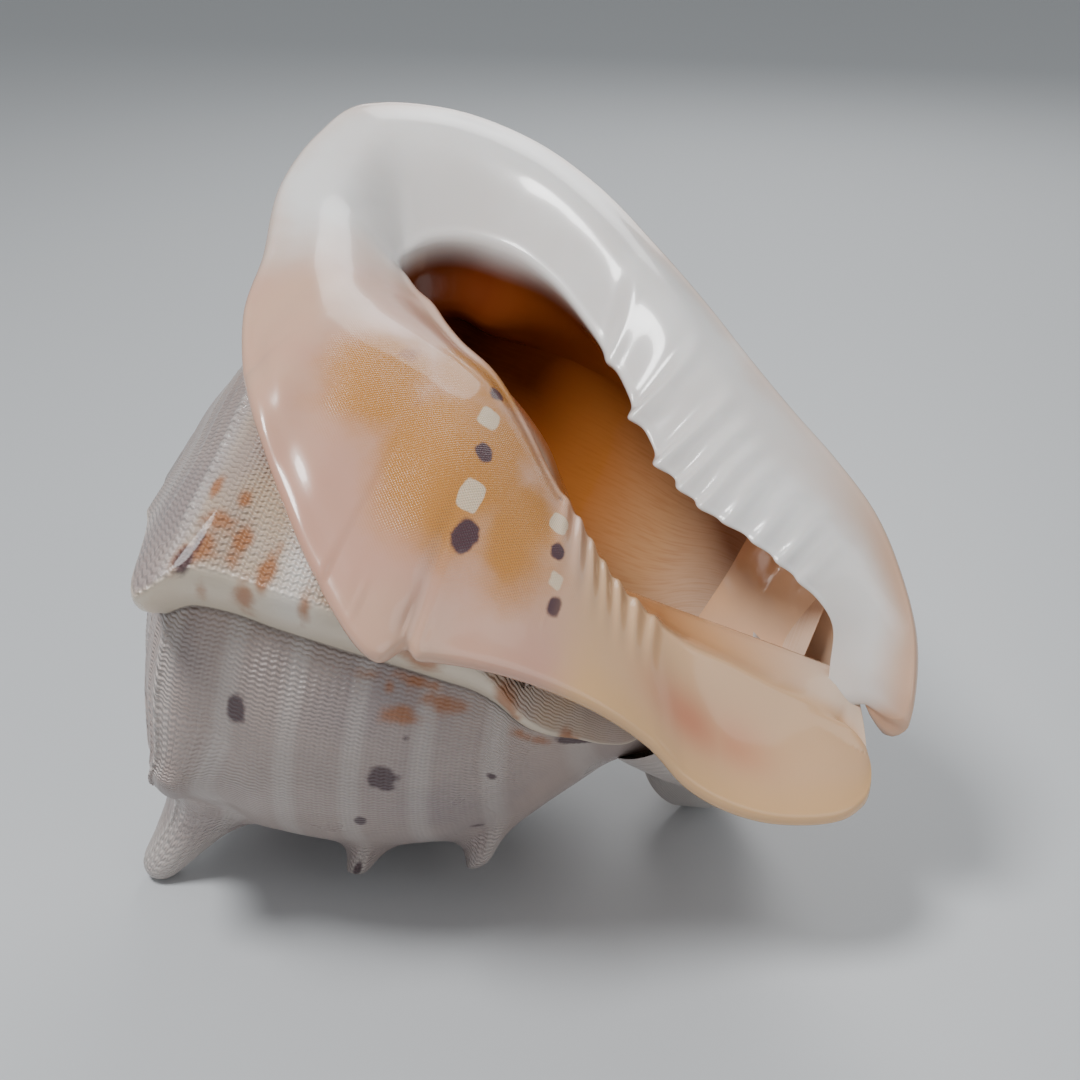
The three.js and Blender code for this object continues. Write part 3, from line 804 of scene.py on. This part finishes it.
# Markings, each as [where, how large, how strong]
whorlMarks = {
    "purple": [
        [(76, 58), (3.6, 3.2), 1.0], [(85, 97), (3.6, 4), 1.0], [(88, 99), (2, 3), 0.9],
        [(60, 140), (3.6, 4.5), 1.0], [(73, 102), (1.6, 1.6), 0.8], [(81, 123), (1.8, 1.6), 0.8],
        [(111, 119), (2.4, 2), 0.8], [(102, 92), (2.4, 2), 0.9], [(131, 89), (2.4, 2), 0.8],
        [(33, 59), (3, 2.4), 0.9], [(49, 41), (3, 3), 0.9], [(45, 42), (3, 2), 0.6],
        [(136, 29), (2, 1.5), 0.8],
    ],
    "rust": [
        [(68, 100), (3, 6), 0.8], [(62, 109), (3, 8), 0.8], [(59, 104), (2, 9), 0.7],
        [(61, 131), (3, 6), 0.7], [(36, 40), (2.5, 2), 0.9], [(36, 48.5), (2.5, 2.5), 0.9],
        [(52, 57), (5, 3.5), 0.8], [(50, 73), (4, 2), 0.6], [(50, 103), (5, 5), 1.2],
        [(50, 98), (3, 3), 0.9], [(50, 126), (5, 4), 1.1], [(50, 140), (5, 3), 0.8],
        [(52, 46), (5, 2), 0.5], [(41, 46), (3, 5), 0.8], [(46, 44), (4, 4), 0.8],
        [(43, 52), (4, 3), 0.8], [(46, 61), (4, 3), 0.9], [(42, 62), (3, 2), 0.6],
        [(60, 90), (2, 14), 0.4], [(62, 96), (2, 2), 0.7], [(49, 40), (4, 3), 0.7],
    ],
    "white": [
        [(43, 69), (9, 6), 1.0], [(35, 66), (7, 4), 0.7],
    ],
}
chance = np.random.default_rng(11)
for age in range(150, 290, 20):  # the far side, in the same rows as the near one
    for unit in (60, 98, 124):
        at = (age + chance.uniform(-4, 4), unit + chance.uniform(-3, 3))
        whorlMarks["purple"].append([at, (3.5, 3), chance.uniform(0.3, 1)])
        whorlMarks["rust"].append([(at[0] + 7, at[1] + 4), (6, 5), chance.uniform(0.2, 0.8)])
for age in range(-330, 30, 24):  # the shoulder of the last turn but one
    at = (age + chance.uniform(-5, 5), 34 + chance.uniform(-4, 4))
    whorlMarks["rust"].append([at, (6, 4), chance.uniform(0.2, 0.7)])

rimMarks = {
    "purple": [
        [(18, 84), (5, 3), 0.8], [(-8, 89), (4.5, 3), 0.9], [(-32, 93), (5.5, 4), 1.0],
        [(0, 109), (5, 2), 0.5], [(-19, 114), (4, 2.5), 0.8], [(-33, 118), (4, 2.5), 0.8],
        [(-37, 78), (3, 3), 0.5], [(23, 66), (5, 4), 0.45], [(12, 62), (4, 4), 0.3],
    ],
    "rust": [
        [(12, 62), (6, 5), 0.6], [(-4, 70), (5, 5), 0.5], [(30, 76), (6, 4), 0.4],
        [(10, 100), (10, 2), 0.4],
    ],
    "pale": [
        [(-22, 90.5), (5, 3), 1.0], [(5, 86), (5, 3), 0.8], [(-10, 111.5), (4, 2.5), 0.9],
        [(-27, 116), (3, 2), 0.7],
    ],
    "orange": [
        [(-2, 60), (26, 16), 0.8], [(-12, 84), (30, 22), 1.0], [(-20, 104), (26, 14), 0.8],
        [(18, 78), (20, 14), 0.8],
    ],
    "hollow": [
        [(-31, 158), (7, 12), 1.0], [(-29, 172), (7, 10), 0.7],
    ],
}


# Colours and gloss
whorlLook = {
    "cream": (0.50, 0.40, 0.36),
    "grey": (0.38, 0.31, 0.30),
    "white": (0.68, 0.62, 0.58),
    "glazed": (0.83, 0.79, 0.74),
    "sand": (0.62, 0.44, 0.27),
    "ivory": (0.74, 0.62, 0.48),
    # painted shade: the colour for the bottoms of the fine ripples' grooves
    "groove": (0.26, 0.19, 0.18),
    "rust": (0.40, 0.14, 0.04),
    "purple": (0.07, 0.03, 0.04),
    # painted shadow: the dark line along the foot of the old lip
    "paintedShadowUnderLip": (0.12, 0.08, 0.06),
    "rippleDegrees": 1.05,
    "rippleWobble": 14.0,
    "zigzag": 0.9,
    "cordUnits": 1.2,
    "rippleHeight": 0.0005,
    "rippleStrength": 0.7,
    "bandUnits": 17,
    "gloss": (0.26, 0.42),
    "coat": 0.25,
    "glow": 0.03,
}
insideLook = {
    "stops": [  # share of the way from the shoulder to the front, and the colour there
        (0.0, (0.17, 0.035, 0.008)),
        (0.16, (0.20, 0.04, 0.008)),
        (0.36, (0.42, 0.11, 0.018)),
        (0.56, (0.60, 0.22, 0.055)),
        (0.76, (0.72, 0.40, 0.20)),
        (1.0, (0.76, 0.56, 0.42)),
    ],
    "units": (33, 141),
    "cloud": 16.0,
    "streak": (0.45, 0.14, 0.03),
    "gloss": 0.16,
    "coat": 0.6,
}
rimLook = {
    "lip": (0.90, 0.88, 0.86),
    "lipShade": (0.82, 0.78, 0.75),
    "peach": (0.68, 0.38, 0.22),
    "shield": (0.70, 0.44, 0.31),
    "pink": (0.68, 0.37, 0.27),
    "orange": (0.60, 0.25, 0.05),
    "tongue": (0.74, 0.46, 0.26),
    "tongueEdge": (0.78, 0.46, 0.20),
    "hollow": (0.66, 0.27, 0.15),
    "marks": [  # kind, colour and strength
        ("rust", (0.36, 0.11, 0.04), 0.75),
        ("pale", (0.80, 0.66, 0.48), 0.85),
        ("purple", (0.07, 0.03, 0.045), 0.97),
    ],
    "pitSize": 0.9,
    "gloss": 0.24,
    "coat": 0.5,
    "glow": 0.08,
}


def ripples(sheet, age, unit, place):
    wobble = sheet.noise(55, 2, place)
    zigzag = sheet.math("SINE", sheet.add(sheet.times(unit, 2.4), sheet.times(wobble, 9.0)))
    phase = sheet.times(age, 2 * math.pi / whorlLook["rippleDegrees"])
    phase = sheet.add(phase, sheet.times(wobble, whorlLook["rippleWobble"]))
    ripple = sheet.math("SINE", sheet.add(phase, sheet.times(zigzag, whorlLook["zigzag"])))
    cords = sheet.math("SINE", sheet.times(unit, 2 * math.pi / whorlLook["cordUnits"]))
    return sheet.add(sheet.times(ripple, 0.8), sheet.times(cords, 0.2))


def whorlMaterial(name):
    sheet = Sheet(name)
    age, unit, horn, cord, ridge = (sheet.field(key) for key in ("age", "unit", "horn", "cord", "ridge"))
    place = sheet.node("TexCoord").outputs["Object"]
    crest, foot = varix["crest"], varix["foot"]
    oldLip = sheet.times(sheet.span(ridge, crest - 1, crest + 1), sheet.span(ridge, foot + 0.6, foot - 0.4))
    before = sheet.span(ridge, crest + 1, crest - 1)
    rough = sheet.times(sheet.math("SUBTRACT", 1.0, oldLip), sheet.span(unit, 138, 116, (0.12, 1)))
    weave = sheet.times(ripples(sheet, age, unit, place), rough)

    # Cream and grey clouds, pale bands and a sandy stretch before the old lip
    cloud = sheet.noise(22, 4, place)
    base = sheet.blend(sheet.span(cloud, 0.35, 0.65), whorlLook["grey"], whorlLook["cream"])
    spiral = sheet.math("SINE", sheet.times(unit, 2 * math.pi / whorlLook["bandUnits"]))
    bands = sheet.span(sheet.add(spiral, sheet.times(cloud, 0.6)), 0.5, 1.4, (0, 0.45))
    base = sheet.blend(bands, base, whorlLook["white"])
    base = sheet.blend(sheet.span(sheet.noise(9, 3, place), 0.5, 0.75, (0, 0.2)), base, whorlLook["rust"])
    warm = sheet.times(before, sheet.span(sheet.noise(30, 4, place), 0.3, 0.6, (0.2, 0.75)))
    base = sheet.blend(sheet.times(warm, sheet.span(unit, 37, 40)), base, whorlLook["sand"])

    # White horns and cords, painted shade in the ripple grooves, the old lip, then the spots and a painted
    # shadow line along the old lip's foot
    base = sheet.blend(sheet.span(horn, 0.15, 0.8, (0, 0.7)), base, whorlLook["white"])
    base = sheet.blend(sheet.span(cord, 0.2, 1.0, (0, 0.6)), base, whorlLook["white"])
    # painted shade darkens the bottoms of the fine ripples
    base = sheet.blend(sheet.span(weave, -1, 0.2, (0.3, 0)), base, whorlLook["groove"])
    base = sheet.blend(oldLip, base, whorlLook["ivory"])
    base = sheet.blend(sheet.times(sheet.field("white"), 0.85), base, whorlLook["glazed"])
    rag = sheet.times(sheet.add(sheet.noise(150, 5, place), -0.5), 1.3)
    rust = sheet.span(sheet.add(sheet.field("rust"), rag), 0.2, 0.85, (0, 0.85))
    purple = sheet.span(sheet.add(sheet.field("purple"), rag), 0.3, 0.7, (0, 0.9))
    base = sheet.blend(rust, base, whorlLook["rust"])
    base = sheet.blend(purple, base, whorlLook["purple"])
    # painted shadow: a thin dark line along the old lip's foot, where the ledge shades the whorl
    line = sheet.times(sheet.span(ridge, foot - 0.5, foot + 0.1), sheet.span(ridge, foot + 1.2, foot + 0.3))
    base = sheet.blend(sheet.times(line, 0.6), base, whorlLook["paintedShadowUnderLip"])
    base = sheet.blend(sheet.field("inner"), base, insideColour(sheet, 0.625))

    height = sheet.add(weave, sheet.times(sheet.noise(900, 2, place), 0.3))
    normal = sheet.bump(height, whorlLook["rippleStrength"], whorlLook["rippleHeight"])
    roughness = sheet.span(sheet.noise(40, 3, place), 0.3, 0.7, whorlLook["gloss"])
    return sheet.finish(base, roughness, normal, coat=whorlLook["coat"], glow=whorlLook["glow"])


def insideColour(sheet, scale=1.0):
    low, high = insideLook["units"]
    cloud = sheet.times(sheet.add(sheet.noise(18, 3), -0.5), insideLook["cloud"])
    unit = sheet.times(sheet.field("unit"), scale)
    share = sheet.math("DIVIDE", sheet.add(sheet.add(unit, cloud), -low), high - low)
    return sheet.ramp(share, insideLook["stops"])


def insideMaterial(name):
    sheet = Sheet(name)
    unit = sheet.field("unit")
    along = sheet.grid(sheet.times(sheet.field("age"), 0.25), sheet.times(unit, 0.02))
    streaks = sheet.span(sheet.noise(6, 4, along), 0.4, 0.75, (0, 0.3))
    colour = sheet.blend(streaks, insideColour(sheet), insideLook["streak"])
    normal = sheet.bump(sheet.noise(60, 2), 0.08, 0.001)
    return sheet.finish(colour, insideLook["gloss"], normal, coat=insideLook["coat"])


def canalMaterial(name):
    sheet = Sheet(name)
    cloud = sheet.noise(26, 4)
    inside = sheet.span(sheet.field("unit"), 0.2, 0.8)
    outside = sheet.blend(sheet.span(cloud, 0.35, 0.65), whorlLook["cream"], whorlLook["white"])
    colour = sheet.blend(inside, outside, rimLook["peach"])
    rings = sheet.math("SINE", sheet.add(sheet.times(sheet.field("age"), 55.0), sheet.times(cloud, 6.0)))
    return sheet.finish(colour, 0.35, sheet.bump(rings, 0.3, 0.0006), coat=0.2)


def lipColour(sheet, along, across, cloud, soft):
    lip = sheet.blend(sheet.span(cloud, 0.4, 0.7), rimLook["lip"], rimLook["lipShade"])
    front = sheet.span(sheet.add(along, sheet.times(soft, 3.0)), 6.5, 3.0)
    outer = sheet.span(sheet.add(across, sheet.times(soft, 0.5)), 0.45, 0.95)
    lip = sheet.blend(sheet.times(sheet.times(front, outer), 0.8), lip, rimLook["peach"])
    margin = sheet.span(sheet.add(across, sheet.times(soft, 0.6)), 0.8, 1.15, (0, 0.45))
    return sheet.blend(margin, lip, rimLook["peach"])


def shieldColour(sheet, orange, place):
    clouds = sheet.span(sheet.noise(14, 3, place), 0.4, 0.65)
    shield = sheet.blend(clouds, rimLook["shield"], rimLook["pink"])
    shield = sheet.blend(orange, shield, rimLook["orange"])
    rag = sheet.times(sheet.add(sheet.noise(160, 5, place), -0.5), 1.3)
    for kind, colour, strong in rimLook["marks"]:
        mark = sheet.span(sheet.add(sheet.field(kind), sheet.times(rag, 0.6)), 0.4, 0.62, (0, strong))
        shield = sheet.blend(mark, shield, colour)
    return shield


def tongueColour(sheet, across, soft):
    tongue = sheet.blend(sheet.field("hollow"), rimLook["tongue"], rimLook["hollow"])
    edge = sheet.span(sheet.add(across, sheet.times(soft, 0.5)), 0.7, 1.0, (0, 0.6))
    return sheet.blend(edge, tongue, rimLook["tongueEdge"])


def rimMaterial(name):
    sheet = Sheet(name)
    along, across, side, drop = (sheet.field(key) for key in ("along", "across", "side", "drop"))
    place = sheet.node("TexCoord").outputs["Object"]
    cloud = sheet.noise(20, 4, place)
    soft = sheet.add(cloud, -0.5)
    blotches = sheet.times(sheet.add(sheet.noise(45, 4, place), -0.5), 0.9)
    orange = sheet.span(sheet.add(sheet.field("orange"), blotches), 0.15, 0.7)

    # From the lip over the shield to the tongue, then what turns into the opening and what lies behind
    toShield = sheet.span(sheet.add(along, sheet.times(soft, 2.5)), 15.2, 17.4)
    toTongue = sheet.span(sheet.add(along, sheet.times(soft, 1.5)), 23.6, 24.8)
    inward = sheet.span(sheet.add(across, sheet.times(soft, 0.12)), -0.02, -0.5)
    colour = lipColour(sheet, along, across, cloud, soft)
    colour = sheet.blend(toShield, colour, shieldColour(sheet, orange, place))
    colour = sheet.blend(toTongue, colour, tongueColour(sheet, across, soft))
    colour = sheet.blend(inward, colour, insideColour(sheet))
    colour = sheet.blend(sheet.span(across, 1.25, 1.5), colour, whorlLook["cream"])

    # The old whorl's fine pits show through the orange part
    pits = sheet.times(
        sheet.math("SINE", sheet.times(side, 2 * math.pi / rimLook["pitSize"])),
        sheet.math("SINE", sheet.times(drop, 2 * math.pi / rimLook["pitSize"])),
    )
    pitted = sheet.times(sheet.times(pits, orange), 0.4)
    height = sheet.add(pitted, sheet.times(sheet.noise(30, 3, place), 1.2))
    normal = sheet.bump(height, 0.35, 0.0008)
    return sheet.finish(colour, rimLook["gloss"], normal, coat=rimLook["coat"], glow=rimLook["glow"])


for piece in (whorl, spireSheet, spireTip):
    for key, marks in whorlMarks.items():
        paint(piece, key, "age", "unit", marks)
for key, marks in rimMarks.items():
    paint(stripPiece, key, "side", "drop", marks, power=5 if key == "pale" else 2)
whorlFinish = whorlMaterial("whorlFinish")
canalFinish = canalMaterial("canalFinish")
insideFinish = insideMaterial("insideFinish")
rimFinish = rimMaterial("rimFinish")
look = {
    "whorl": whorlFinish,
    "spire": whorlFinish,
    "spireTip": whorlFinish,
    "canal": canalFinish,
    "hollow": insideFinish,
    "canalFloor": insideFinish,
    "rim": rimFinish,
}
for name, finish in look.items():
    bpy.data.objects[name].data.materials.append(finish)
print("finishes made")

# Table, light and camera
studio = {
    "floor": (0.62, 0.64, 0.66),
    "floorSize": 6,
    "floorGloss": 0.45,
    "backdrop": (0.75, 0.78, 0.80),
    "backdropLight": 0.4,
    "aim": (0, 0, 0.09),
    "key": {"at": (-0.35, -0.25, 0.95), "size": 0.3, "watts": 8},
    "fill": {"at": (0.8, -0.6, 0.5), "size": 0.9, "watts": 2.2},
    "rimLight": {"at": (0.2, 0.9, 0.7), "size": 0.7, "watts": 4},
    "camera": {"at": (0.00705, -0.41111, 0.29062), "tilt": 64, "lens": 53.33, "sensor": 36},
}
bpy.ops.mesh.primitive_plane_add(size=studio["floorSize"], location=(0, 0, 0))
floor = bpy.context.object
floor.name = "table"
floorSheet = Sheet("tableFinish")
floor.data.materials.append(floorSheet.finish(studio["floor"], studio["floorGloss"]))

world = bpy.data.worlds.new("studio")
world.use_nodes = True
backdrop = world.node_tree.nodes["Background"]
backdrop.inputs["Color"].default_value = (*studio["backdrop"], 1)
backdrop.inputs["Strength"].default_value = studio["backdropLight"]
bpy.context.scene.world = world
for name in ("key", "fill", "rimLight"):
    values = studio[name]
    light = bpy.data.lights.new(name, "AREA")
    light.shape = "DISK"
    light.size = values["size"]
    light.energy = values["watts"]
    lamp = bpy.data.objects.new(name, light)
    lamp.location = values["at"]
    towards = Vector(studio["aim"]) - Vector(values["at"])
    lamp.rotation_euler = towards.to_track_quat("-Z", "Y").to_euler()
    bpy.context.collection.objects.link(lamp)

lens = bpy.data.cameras.new("camera")
lens.lens = studio["camera"]["lens"]
lens.sensor_width = studio["camera"]["sensor"]
camera = bpy.data.objects.new("camera", lens)
camera.location = studio["camera"]["at"]
camera.rotation_euler = (math.radians(studio["camera"]["tilt"]), 0, 0)
bpy.context.collection.objects.link(camera)
bpy.context.scene.camera = camera
print("studio ready")
